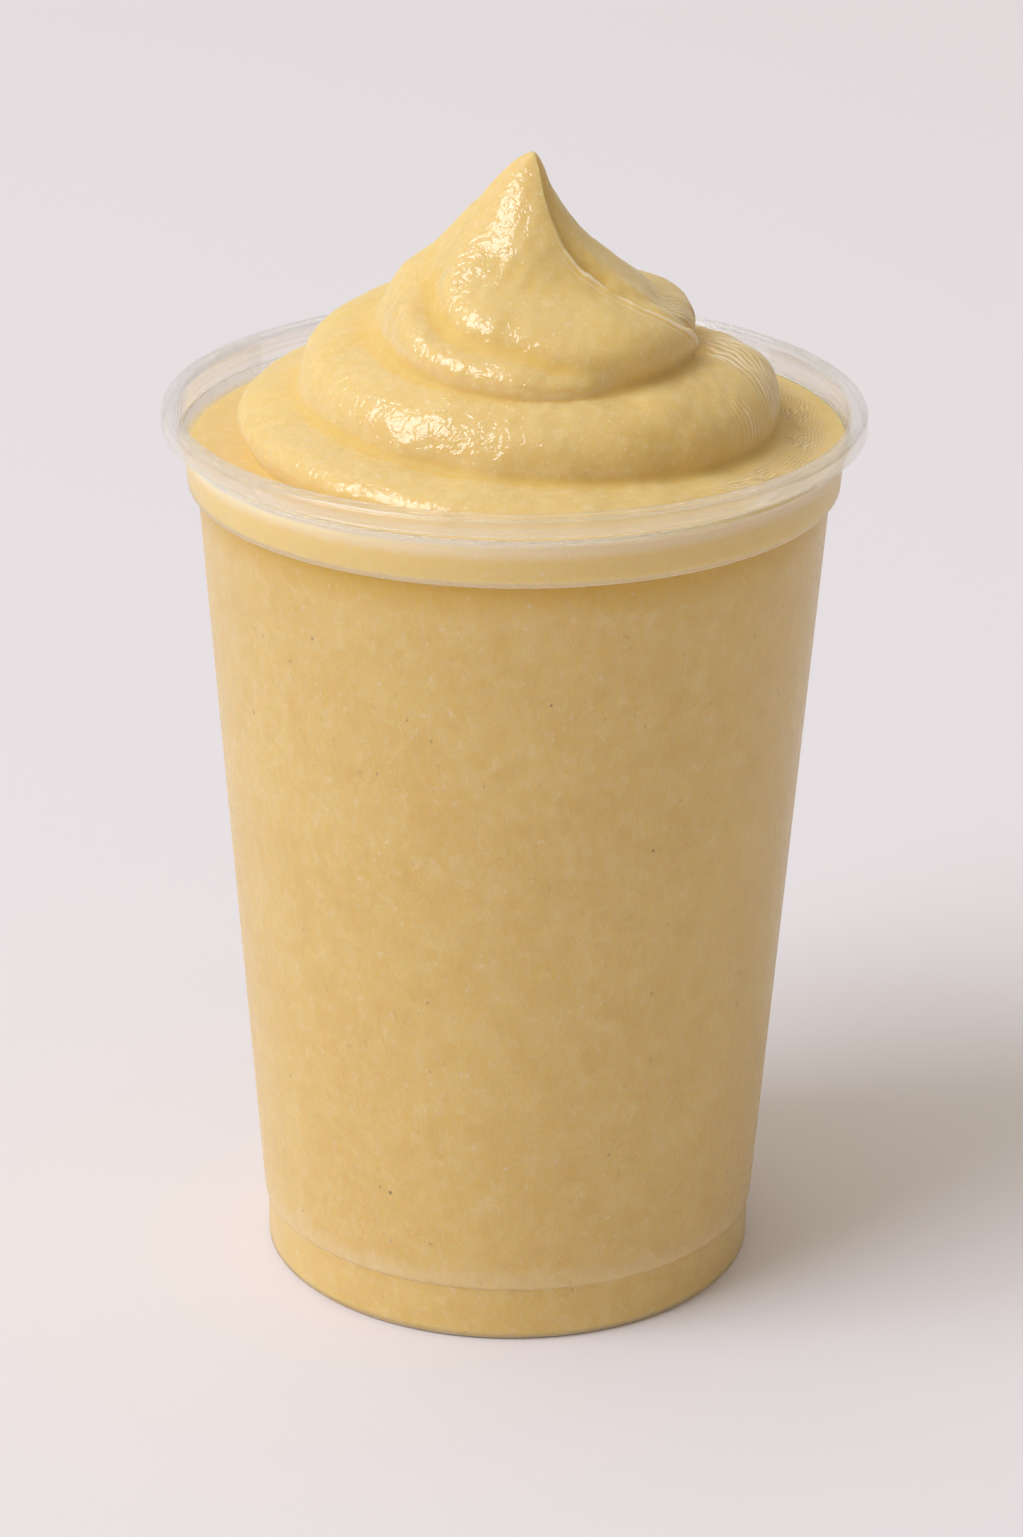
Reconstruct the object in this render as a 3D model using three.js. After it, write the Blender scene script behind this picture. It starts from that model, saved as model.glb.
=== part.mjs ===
// A clear plastic cup filled with cupuacu smoothie, topped with a soft swirl of the same smoothie.
// Millimetres, +Z up. The origin is the centre of the cup's base, on the surface it stands on.
// The viewer stands on the -Y side, and +X is the viewer's right.
import * as THREE from 'three';

// Driving sizes of the cup
const wallThickness = 0.6;
const lipRadius = 49.0;          // outside of the rolled lip
const lipTop = 128.8;
const lipSkirtBottom = 126.0;    // lower edge of the lip's outer skirt
const lipWidth = 2.7;            // from the mouth to the outside of the lip
const bandTopRadius = 45.9;      // stacking band under the lip
const bandBottomRadius = 45.45;
const bandTop = 123.4;
const bandBottom = 117.4;
const wallTopRadius = 44.14;     // the conical wall just under the band
const ringRadius = 35.75;        // the wall's lower end, overhanging the foot
const ringHeight = 8.65;
const footRadius = 35.25;
const baseContactRadius = 34.5;
const baseRecessRadius = 31.5;
const baseRecessHeight = 1.5;
const baseThickness = 0.8;

// Driving sizes of the drink
const fillLevel = 123.8;         // surface of the drink at the wall, on average
const fillTilt = 0.8;            // the surface stands this much higher at the viewer's right
const drinkGap = 0.3;            // clearance between the drink and the cup's inside
const tipHeight = 164.4;
const tipShift = 2.1;            // the tip leans this far to the viewer's right
const leanStart = 132;           // height where the lean begins
const leanPower = 1.4;           // how much of the lean is kept for the tip
const peakSlope = 0.79;          // growth of the peak's radius per millimetre below the tip
const peakTipRadius = 1.0;       // roundness of the tip
const peakWaist = 22.2;          // largest radius of the peak, where it sinks into the coil
const waistFillet = 2.7;         // softness where the peak reaches its waist
const lobeFillet = 6.0;          // softness where the last lobe grows out of the peak
const creaseFillet = 1.5;        // softness of the creases between turns
const surfaceFillet = 2.5;       // softness where the coil leaves the flat surface

// The coil winds up and inwards, clockwise seen from above. One row for each quarter turn:
// crest radius, crest height, half width and half height of the coil's oval section.
const coilSections = [
  [42.0, 118.0, 8.0, 3.5],       // back, still sunk in the drink
  [41.6, 121.6, 8.0, 3.5],       // right, just breaking the surface
  [40.2, 124.5, 8.0, 3.4],       // front
  [38.3, 127.0, 8.1, 4.3],       // left
  [39.2, 125.9, 8.6, 5.2],       // back
  [36.8, 128.6, 10.1, 8.1],      // right, the broad middle turn
  [32.5, 128.7, 10.3, 8.5],      // front
  [29.9, 132.7, 8.8, 7.5],       // left
  [27.8, 137.1, 8.0, 6.0],       // back
  [26.5, 139.0, 8.1, 4.8],       // right, a shoulder behind the fold
  [25.3, 138.5, 7.0, 3.8],       // front, mostly under the last lobe
  [18.8, 142.1, 8.9, 7.8],       // left
  [17.2, 142.7, 7.0, 5.4],       // back
  [11.1, 146.8, 6.0, 4.0],       // right, lost in the peak
];
const firstQuarter = -1;         // the first row stands a quarter turn before the viewer's right

// The last lobe starts at the fold on the right and runs up round the front into the peak.
// One row for each eighth of a turn, with the same four sizes.
const lobeSections = [
  [24.6, 140.5, 8.0, 4.2],
  [25.3, 141.0, 8.0, 4.4],
  [22.6, 140.6, 8.0, 4.9],
  [15.0, 146.0, 7.1, 4.3],
  [6.2, 148.1, 5.8, 3.6],
  [5.7, 152.2, 4.9, 2.5],
];
const lobeOverrun = 0.2;         // quarter turns that the lobe reaches back past its first row

// The fold: a seam that comes down from the tip over the front right and ends at the right side
const foldLowAngle = 3.7;        // degrees clockwise from the right, at the lower end
const foldHighAngle = 63.7;      // the same near the tip
const foldLow = 133.9;
const foldHigh = 160;
const foldWidth = 7;             // degrees over which the surface drops behind the fold
const foldHold = 60;             // degrees behind the fold that keep the full depth
const foldEnd = 210;             // degrees behind the fold where the surface is whole again
const foldDepth = 0.39;          // share of the peak's radius that is missing behind the fold
const foldShallowFrom = 4.2;     // distance below the tip where the depth starts to fade
const foldShallowTo = 19.5;
const lobeDrop = 6;              // how far the lobe's end falls back behind the fold
const shoulderDive = 2.5;        // how far the turn behind the fold sinks where it meets the fold
const shoulderFrom = 8;          // quarter turns along the coil where that turn begins and ends
const shoulderTo = 11;
const shoulderRise = 52;         // degrees behind the fold over which the turn comes up again
const shoulderFront = [30, 70];  // degrees in front of the fold over which it does the same

// Mesh fineness
const columns = 72;
const swirlRows = 40;            // evenly spaced from the wall to the tip
const swirlCentreHeight = 100;   // the swirl's surface is found along rays from here
const rays = 160;
const rayCrowding = 1.15;        // above 1, the rays stand closer together near the wall
const rayStart = 80;             // distance from the centre where each ray's search begins
const raySteps = 60;
const rayStepLimits = [-0.5, 3]; // shortest and longest step of the search
const rayCaution = 0.7;          // share of the measured distance that one step takes

const smoothstep = (low, high, x) => THREE.MathUtils.smoothstep(x, low, high);

// A smooth curve through values that stand one unit apart.
function keyed(rows, item, t) {
  const last = rows.length - 1;
  const i = Math.min(Math.max(Math.floor(t), 0), last - 1);
  const f = THREE.MathUtils.clamp(t - i, 0, 1);
  const value = (k) => rows[THREE.MathUtils.clamp(k, 0, last)][item];
  const [a, b, c, d] = [value(i - 1), value(i), value(i + 1), value(i + 2)];
  return b + 0.5 * f * (c - a + f * (2 * a - 5 * b + 4 * c - d + f * (3 * (b - c) + d - a)));
}

// Joins two distances with a fillet.
function smoothMin(a, b, fillet) {
  const h = THREE.MathUtils.clamp(0.5 + (0.5 * (b - a)) / fillet, 0, 1);
  return b * (1 - h) + a * h - fillet * h * (1 - h);
}

// Distance from a point to an oval, in the upright plane through the axis.
function ovalDistance(r, z, crest, height, halfWidth, halfHeight) {
  const dr = r - (crest - halfWidth);
  const dz = z - height;
  const near = Math.hypot(dr / halfWidth, dz / halfHeight);
  const slope = Math.hypot(dr / halfWidth ** 2, dz / halfHeight ** 2);
  return (near * (near - 1)) / Math.max(slope, 1e-9);
}

function sectionDistance(rows, t, r, z, crestDrop) {
  const [crest, height, halfWidth, halfHeight] = [0, 1, 2, 3].map((item) => keyed(rows, item, t));
  return ovalDistance(r, z, crest - crestDrop, height, halfWidth, halfHeight);
}

const foldAngle = (z) =>
  foldLowAngle + (foldHighAngle - foldLowAngle) * smoothstep(foldLow, foldHigh, z);

const surfaceHeight = (angle) =>
  fillLevel + fillTilt * Math.cos(THREE.MathUtils.degToRad(angle));

// 1 just behind the fold, 0 in front of it, dying away round the back.
function behindFold(angle, z) {
  const behind = (foldAngle(z) - angle + foldWidth / 2 + 360) % 360;
  return smoothstep(0, foldWidth, behind) * (1 - smoothstep(foldHold, foldEnd, behind));
}

function peakDistance(angle, r, z) {
  const below = Math.max(tipHeight - z, 0);
  const cone = Math.sqrt((peakSlope * below) ** 2 + 2 * peakTipRadius * below);
  const radius = z > tipHeight ? 3 * (tipHeight - z) : smoothMin(cone, peakWaist, waistFillet);
  const depth = foldDepth * (1 - smoothstep(foldShallowFrom, foldShallowTo, below));
  return (r - radius * (1 - depth * behindFold(angle, z))) * rayCaution;
}

// How far the turn behind the fold is sunk, so that the fold's edge stands above it.
function shoulderDrop(angle, z) {
  const behind = ((foldAngle(z) - angle + 540) % 360) - 180;
  return shoulderDive * (1 - smoothstep(0, shoulderRise, behind))
    * (1 - smoothstep(shoulderFront[0], shoulderFront[1], -behind));
}

// Signed distance to the swirl. The angle is in degrees, clockwise from the viewer's right.
function swirlDistance(angle, r, z) {
  const quarter = angle / 90;
  let distance = peakDistance(angle, r, z);
  const lobeQuarter = quarter > 4 - lobeOverrun ? quarter - 4 : quarter;
  const lobeStep = 2 * lobeQuarter;
  if (lobeStep <= lobeSections.length - 1) {
    const behind = foldAngle(z) - 90 * lobeQuarter;
    const drop = lobeDrop * smoothstep(0, foldWidth, behind);
    const lobe = sectionDistance(lobeSections, Math.max(lobeStep, 0), r, z, drop);
    distance = smoothMin(distance, lobe, lobeFillet);
  }
  for (let turn = -1; turn <= 2; turn++) {
    const t = quarter + 4 * turn - firstQuarter;
    if (t < 0 || t > coilSections.length - 1) continue;
    const drop = t > shoulderFrom && t < shoulderTo ? shoulderDrop(angle, z) : 0;
    distance = smoothMin(distance, sectionDistance(coilSections, t, r, z, drop), creaseFillet);
  }
  return smoothMin(distance, z - surfaceHeight(angle), surfaceFillet);
}

// The outermost point of the swirl on a ray from the centre height through (r, z).
function swirlPoint(angle, r, z) {
  const rise = z - swirlCentreHeight;
  const length = Math.hypot(r, rise);
  const [across, up] = [r / length, rise / length];
  let reach = rayStart;
  for (let step = 0; step < raySteps; step++) {
    const distance = swirlDistance(angle, reach * across, swirlCentreHeight + reach * up);
    reach -= THREE.MathUtils.clamp(distance, ...rayStepLimits) * rayCaution;
  }
  return [reach * across, swirlCentreHeight + reach * up];
}

// The swirl's outline at one angle, from the wall to the tip, as evenly spaced points.
function swirlOutline(angle, edgeRadius) {
  const traced = [];
  for (let ray = 0; ray < rays; ray++) {
    const r = edgeRadius * (1 - ray / rays);
    const z = fillLevel + (tipHeight - fillLevel) * (1 - r / edgeRadius) ** rayCrowding;
    const [foundRadius, foundHeight] = swirlPoint(angle, r, z);
    traced.push([Math.min(foundRadius, edgeRadius), foundHeight]);
  }
  traced.push([0, tipHeight]);
  const along = [0];
  for (let i = 1; i < traced.length; i++) {
    const [before, here] = [traced[i - 1], traced[i]];
    along.push(along[i - 1] + Math.hypot(here[0] - before[0], here[1] - before[1]));
  }
  const outline = [];
  let i = 0;
  for (let row = 0; row < swirlRows; row++) {
    const wanted = (along[rays] * row) / swirlRows;
    while (along[i + 1] < wanted) i++;
    const share = (wanted - along[i]) / (along[i + 1] - along[i]);
    outline.push([0, 1].map((k) => THREE.MathUtils.lerp(traced[i][k], traced[i + 1][k], share)));
  }
  outline.push([0, tipHeight]);
  return outline;
}

const lean = (z) =>
  tipShift * Math.max((z - leanStart) / (tipHeight - leanStart), 0) ** leanPower;

const cupMaterial = new THREE.MeshStandardMaterial({
  color: 0xe6e0d8, roughness: 0.32, metalness: 0, transparent: true, opacity: 0.35,
});
const drinkMaterial = new THREE.MeshStandardMaterial({
  color: 0xe0c384, roughness: 0.38, metalness: 0,
});

function standUp(geometry) {
  geometry.rotateX(Math.PI / 2);
  geometry.computeVertexNormals();
  return geometry;
}

// The cup is one shell: its outline runs from the underside's centre up the outside,
// over the lip and down the inside to the floor's centre.
function makeCup() {
  const mouthRadius = lipRadius - lipWidth;
  const neckRadius = mouthRadius + wallThickness;
  const skirtInside = lipRadius - wallThickness;
  const outline = [
    [0, baseRecessHeight],
    [baseRecessRadius - 1.2, baseRecessHeight],
    [baseRecessRadius, 0],
    [baseContactRadius, 0],
    [footRadius - 0.15, 0.4],
    [footRadius, 1.1],
    [footRadius, ringHeight - 0.3],
    [ringRadius, ringHeight],
    [wallTopRadius, bandBottom],
    [bandBottomRadius, bandBottom + 0.3],
    [bandTopRadius, bandTop],
    [neckRadius - 0.1, bandTop + 1.0],
    [neckRadius, lipTop - 1.3],
    [neckRadius + 0.4, lipTop - 0.8],
    [skirtInside - 0.4, lipTop - 0.8],
    [skirtInside, lipTop - 1.3],
    [skirtInside, lipSkirtBottom],
    [lipRadius - 0.1, lipSkirtBottom],
    [lipRadius, lipSkirtBottom + 0.4],
    [lipRadius, lipTop - 0.8],
    [lipRadius - 0.3, lipTop - 0.2],
    [lipRadius - 1.0, lipTop],
    [mouthRadius + 0.5, lipTop - 0.1],
    [mouthRadius, lipTop - 0.6],
    [mouthRadius, bandTop + 1.4],
    [bandTopRadius - wallThickness, bandTop + 0.3],
    [bandBottomRadius - wallThickness, bandBottom + 0.9],
    [wallTopRadius - wallThickness, bandBottom + 0.5],
    [ringRadius - wallThickness, ringHeight + 0.25],
    [footRadius - wallThickness, ringHeight - 0.15],
    [footRadius - wallThickness, baseThickness + 0.7],
    [baseContactRadius - 0.4, baseThickness],
    [baseRecessRadius - 0.5, baseThickness],
    [baseRecessRadius - 1.6, baseRecessHeight + baseThickness],
    [0, baseRecessHeight + baseThickness],
  ];
  const points = outline.map(([r, z]) => new THREE.Vector2(r, z));
  return standUp(new THREE.LatheGeometry(points, columns));
}

// The drink fills the cup up to the fill level and rises into the swirl, all in one piece.
function makeDrink() {
  const inside = wallThickness + drinkGap;
  const fillRadius = bandTopRadius - inside + 0.05;
  const filled = [
    [0, baseRecessHeight + baseThickness + drinkGap],
    [baseRecessRadius - 1.75, baseRecessHeight + baseThickness + drinkGap],
    [baseRecessRadius - 0.65, baseThickness + drinkGap],
    [baseContactRadius - 0.65, baseThickness + drinkGap],
    [footRadius - inside, baseThickness + 0.95],
    [footRadius - inside, ringHeight - 0.05],
    [ringRadius - inside, ringHeight + 0.4],
    [wallTopRadius - inside, bandBottom + 0.75],
    [bandBottomRadius - inside, bandBottom + 1.25],
    [fillRadius, fillLevel - fillTilt - 0.3],
  ];
  const swirlStart = filled.length;
  const edgeRadius = fillRadius - 0.15;
  for (let row = 0; row <= swirlRows; row++) filled.push([edgeRadius * (1 - row / swirlRows), fillLevel]);
  const points = filled.map(([r, z]) => new THREE.Vector2(r, z));
  const geometry = new THREE.LatheGeometry(points, columns);
  const position = geometry.getAttribute('position');
  for (let column = 0; column <= columns; column++) {
    const turned = (2 * Math.PI * (column % columns)) / columns;
    const angle = (90 - THREE.MathUtils.radToDeg(turned) + 360) % 360;
    swirlOutline(angle, edgeRadius).forEach(([r, z], row) => {
      const vertex = column * filled.length + swirlStart + row;
      position.setXYZ(vertex, r * Math.sin(turned) + lean(z), z, r * Math.cos(turned));
    });
  }
  return standUp(geometry);
}

const cupOfSmoothie = new THREE.Group();
for (const [name, geometry, material] of [
  ['cup', makeCup(), cupMaterial],
  ['smoothie', makeDrink(), drinkMaterial],
]) {
  const mesh = new THREE.Mesh(geometry, material);
  mesh.name = name;
  cupOfSmoothie.add(mesh);
}

export default cupOfSmoothie;
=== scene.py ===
# The looks of a clear plastic cup of cupuacu smoothie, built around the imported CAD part.
# Metres, +Z up. The viewer stands on the -Y side, and +X is the viewer's right.
import math
import bpy
import numpy as np
from mathutils import Matrix, Vector


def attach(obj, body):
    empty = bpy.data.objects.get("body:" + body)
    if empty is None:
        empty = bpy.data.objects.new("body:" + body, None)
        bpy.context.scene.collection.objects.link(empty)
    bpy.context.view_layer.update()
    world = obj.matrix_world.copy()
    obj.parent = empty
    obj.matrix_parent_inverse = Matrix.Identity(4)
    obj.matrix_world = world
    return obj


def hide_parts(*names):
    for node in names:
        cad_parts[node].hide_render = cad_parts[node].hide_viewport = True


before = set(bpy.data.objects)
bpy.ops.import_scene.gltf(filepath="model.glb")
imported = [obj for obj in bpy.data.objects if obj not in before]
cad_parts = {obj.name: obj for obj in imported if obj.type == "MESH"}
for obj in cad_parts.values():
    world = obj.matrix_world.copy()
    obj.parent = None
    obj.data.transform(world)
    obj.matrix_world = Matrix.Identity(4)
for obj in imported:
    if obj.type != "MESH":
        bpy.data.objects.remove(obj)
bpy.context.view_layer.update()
mm = 0.001
tiny = 1e-9                      # keeps a division from failing
print("frame loaded, nodes:", ", ".join(sorted(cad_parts)))

# Camera: the same place, tilt and long lens as the photograph's
cameraSettings = {
    "place": (0.0, -0.6693, 0.3484),
    "lookDown": 22.32,           # degrees
    "roll": 0.009,               # radians
    "focalLengthPixels": 5066.9,
    "imageHeightPixels": 1537,   # the long side
    "sensorMm": 36.0,
    "clip": (0.01, 20),
}


def addCamera(values):
    data = bpy.data.cameras.new("camera")
    data.sensor_width = values["sensorMm"]
    data.lens = values["sensorMm"] * values["focalLengthPixels"] / values["imageHeightPixels"]
    data.clip_start, data.clip_end = values["clip"]
    camera = bpy.data.objects.new("camera", data)
    bpy.context.scene.collection.objects.link(camera)
    tilt = math.radians(values["lookDown"])
    forward = Vector((0, math.cos(tilt), -math.sin(tilt)))
    level = Vector((1, 0, 0))
    upright = level.cross(forward)
    turn = values["roll"]
    right = math.cos(turn) * level + math.sin(turn) * upright
    up = math.cos(turn) * upright - math.sin(turn) * level
    facing = Matrix((right, up, -forward)).transposed().to_4x4()
    camera.matrix_world = Matrix.Translation(values["place"]) @ facing
    bpy.context.scene.camera = camera


addCamera(cameraSettings)
print("camera placed")


# Small helpers for meshes

def smoothStep(low, high, x):
    t = np.clip((x - low) / (high - low), 0, 1)
    return t * t * (3 - 2 * t)


def fadeInOut(x, riseFrom, riseTo, fallFrom, fallTo):
    return smoothStep(riseFrom, riseTo, x) * (1 - smoothStep(fallFrom, fallTo, x))


def bell(x, middle, width):
    return np.exp(-(((x - middle) / width) ** 2))


def between(pair, share):
    return pair[0] + (pair[1] - pair[0]) * share


def aroundZero(degrees):
    # The same angle, from -180 to 180
    return (degrees + 180) % 360 - 180


def addPiece(name, points, faces, materials, slotOfFace=None):
    mesh = bpy.data.meshes.new(name)
    mesh.from_pydata(points.tolist(), [], faces)
    for material in materials:
        mesh.materials.append(material)
    if slotOfFace is not None:
        mesh.polygons.foreach_set("material_index", np.asarray(slotOfFace, np.int32))
    mesh.polygons.foreach_set("use_smooth", np.ones(len(mesh.polygons), bool))
    mesh.validate()
    mesh.update()
    piece = bpy.data.objects.new(name, mesh)
    bpy.context.scene.collection.objects.link(piece)
    return piece


def ringFaces(rings, columns):
    # Quads between neighbouring rings. Ring 0 is lowest on the outside, and faces look outwards.
    row, column = np.meshgrid(np.arange(rings - 1), np.arange(columns), indexing="ij")
    beside = (column + 1) % columns
    low, high = row * columns, (row + 1) * columns
    corners = np.stack([low + column, low + beside, high + beside, high + column], -1)
    return corners.reshape(-1, 4).tolist()


def closeEnds(faces, slots, rings, columns, topSlot):
    # Fans of triangles round the lowest and the highest point, which come after all rings
    below, last = rings * columns, (rings - 1) * columns
    for c in range(columns):
        beside = (c + 1) % columns
        faces.append([below, beside, c])
        faces.append([below + 1, last + c, last + beside])
        slots += [0, topSlot]


def roundCorners(corners, stepsPerCorner=5, guard=0.12):
    # corners: (r, z, radius) in mm. Each corner becomes an arc with a guard point on both sides,
    # so that smooth shading stays inside the corner.
    mostOfSide, roomForGuard = 0.45, 4
    line = []
    for i, (r, z, radius) in enumerate(corners):
        here = np.array([r, z])
        if radius == 0 or i in (0, len(corners) - 1):
            line.append(here)
            continue
        before = np.array(corners[i - 1][:2]) - here
        after = np.array(corners[i + 1][:2]) - here
        lengthBefore, lengthAfter = np.linalg.norm(before), np.linalg.norm(after)
        before, after = before / lengthBefore, after / lengthAfter
        half = math.acos(np.clip(before @ after, -1, 1)) / 2
        reach = min(radius / math.tan(half), mostOfSide * lengthBefore, mostOfSide * lengthAfter)
        bend = reach * math.tan(half)
        toCentre = (before + after) / np.linalg.norm(before + after)
        centre = here + toCentre * bend / math.sin(half)
        start, end = here + before * reach, here + after * reach
        turn = math.pi - 2 * half
        if guard and lengthBefore > roomForGuard * (reach + guard):
            line.append(start + before * guard)
        for k in range(stepsPerCorner + 1):
            share = k / stepsPerCorner
            a, b = math.sin((1 - share) * turn), math.sin(share * turn)
            spoke = (a * (start - centre) + b * (end - centre)) / max(math.sin(turn), tiny)
            line.append(centre + spoke * (bend / np.linalg.norm(spoke)))
        if guard and lengthAfter > roomForGuard * (reach + guard):
            line.append(end + after * guard)
    return np.array(line)


def turned(line, columns):
    # A line of (r, z) turned round the axis
    angle = np.arange(columns) * 2 * math.pi / columns
    r, z = line[:, :1], line[:, 1:]
    return np.stack([r * np.cos(angle), r * np.sin(angle), z + 0 * angle], -1).reshape(-1, 3)


# Small helpers for materials

class Nodes:
    # Adds nodes to the tree of a material or of the world, and returns the new node's output
    def __init__(self, tree):
        self.add, self.link = tree.nodes.new, tree.links.new

    def feed(self, node, inputs):
        # An input is linked if it is given another node's output, and set if it is given a value
        for name, given in inputs.items():
            socket = node.inputs[name]
            if isinstance(given, bpy.types.NodeSocket):
                self.link(given, socket)
            elif given is not None:
                socket.default_value = (*given, 1) if socket.type == "RGBA" else given
        return node

    def place(self):
        return self.add("ShaderNodeTexCoord").outputs["Object"]

    def height(self, place):
        return self.feed(self.add("ShaderNodeSeparateXYZ"), {0: place}).outputs["Z"]

    def stretched(self, place, scale):
        return self.feed(self.add("ShaderNodeMapping"), {"Vector": place, "Scale": scale}).outputs["Vector"]

    def noise(self, place, scale, detail, roughness, distortion=0.0):
        inputs = {"Vector": place, "Scale": scale, "Detail": detail, "Roughness": roughness,
                  "Distortion": distortion}
        return self.feed(self.add("ShaderNodeTexNoise"), inputs).outputs["Fac"]

    def remap(self, x, fromLow, fromHigh, toLow, toHigh):
        inputs = {"Value": x, "From Min": fromLow, "From Max": fromHigh, "To Min": toLow, "To Max": toHigh}
        return self.feed(self.add("ShaderNodeMapRange"), inputs).outputs["Result"]

    def inRange(self, x, riseFrom, riseTo, fallFrom, fallTo):
        # 0, then up to 1 and back down to 0
        rise = self.remap(x, riseFrom, riseTo, 0, 1)
        fall = self.remap(x, fallFrom, fallTo, 1, 0)
        return self.calc("MULTIPLY", rise, fall)

    def calc(self, operation, first, second=None):
        node = self.add("ShaderNodeMath")
        node.operation = operation
        return self.feed(node, {0: first, 1: second}).outputs[0]

    def mix(self, share, first, second):
        # A mix of colours, which has its own numbered sockets
        node = self.add("ShaderNodeMix")
        node.data_type = "RGBA"
        return self.feed(node, {0: share, 6: first, 7: second}).outputs[2]

    def tint(self, tone, noise, spread, colour):
        return self.mix(self.remap(noise, *spread), tone, colour)

    def bump(self, height, distance, before=None, strength=1.0):
        inputs = {"Height": height, "Distance": distance, "Strength": strength, "Normal": before}
        return self.feed(self.add("ShaderNodeBump"), inputs).outputs["Normal"]

    def toSurface(self, shader):
        self.link(shader, self.add("ShaderNodeOutputMaterial").inputs["Surface"])


def newMaterial(name):
    material = bpy.data.materials.new(name)
    material.use_nodes = True
    material.node_tree.nodes.clear()
    return material, Nodes(material.node_tree)


# The drink: one solid from the cup's floor to the tip of the swirl, with the CAD part's own numbers, in mm
# and degrees. Angles run clockwise seen from above: 0 is the viewer's right, 90 is towards the viewer.
drinkSizes = {
    "fillLevel": 123.8,
    "fillTilt": 0.8,
    "tipHeight": 164.4,
    "tipShift": 2.1,
    "leanStart": 132.0,
    "leanPower": 1.4,
    "peakSlope": 0.79,
    "peakTipRadius": 1.4,
    "peakWaist": 22.2,
    "waistFillet": 2.7,
    "lobeFillet": 6.0,
    "creaseFillet": 1.5,
    "surfaceFillet": 2.5,
    "wallOverlap": 0.15,         # how far the drink reaches into the cup's wall
    "edgeDrop": 0.03,
    "coil": [                    # crest radius, crest height, half width, half height, each quarter turn
        [42.0, 118.0, 8.0, 3.5],
        [41.6, 121.6, 8.0, 3.5],
        [40.2, 124.5, 8.0, 3.4],
        [38.3, 127.0, 8.1, 4.3],
        [39.2, 125.9, 8.6, 5.2],
        [36.8, 128.6, 10.1, 8.1],
        [32.5, 128.7, 10.3, 8.5],
        [29.9, 132.7, 8.8, 7.5],
        [27.8, 137.1, 8.0, 6.0],
        [26.5, 139.0, 8.1, 4.8],
        [25.3, 138.5, 7.0, 3.8],
        [18.8, 142.1, 8.9, 7.8],
        [17.2, 142.7, 7.0, 5.4],
        [11.1, 146.8, 6.0, 4.0],
    ],
    "firstQuarter": -1,
    "lobe": [                    # the same for the last lobe, each eighth turn
        [24.6, 140.5, 8.0, 4.2],
        [25.3, 141.0, 8.0, 4.4],
        [22.6, 140.6, 8.0, 4.9],
        [15.0, 146.0, 7.1, 4.3],
        [6.2, 148.1, 5.8, 3.6],
        [5.7, 152.2, 4.9, 2.5],
    ],
    "lobeOverrun": 0.2,
    "lobeDrop": 6.0,
    "foldLowAngle": 3.7,
    "foldHighAngle": 63.7,
    "foldLow": 133.9,
    "foldHigh": 160.0,
    "foldWidth": 7.0,
    "foldHold": 60.0,
    "foldEnd": 210.0,
    "foldDepth": 0.39,           # share of the peak's radius
    "foldShallowFrom": 4.2,
    "foldShallowTo": 19.5,
    "shoulderDive": 2.5,
    "shoulderSpan": (8, 11),     # quarter turns along the coil
    "shoulderRise": 52.0,
    "shoulderFront": (30, 70),
    "aboveTip": 3,               # slope and steepness that make the peak's distances even
    "peakEvenness": 0.7,
    "farAway": 50,               # distance given where a coil has ended
    "onWall": {"ridge": 50, "wet": 1},           # what the material gets beside the wall, if not 0
}

# How the swirl's surface is traced, along rays that fan out from a point on the axis
tracing = {
    "columns": 520,
    "fineSide": (-36, 30),       # degrees where the columns stand closer, for the drag streaks
    "fineSideFade": (4, 12),
    "fineness": 4.2,
    "rows": 165,
    "fineCoil": (25.0, 38.0, 139.0),             # radii and top of the coil where the rows stand closer
    "fineCoilFade": 2,
    "rowFineness": 1.7,
    "centreHeight": 100.0,
    "rays": (200, 560),          # of the rough tracing, and of the fine one
    "roughColumns": 4,           # the rough tracing takes every fourth column
    "start": (80.0, 1.2),        # reach of the first rays, and how far outside their result the others start
    "steps": (60, 22),
    "stepShare": 0.7,
    "stepLimits": (-0.5, 3),
    "bunching": 1.15,
    "degreeStep": 0.1,
}

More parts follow.
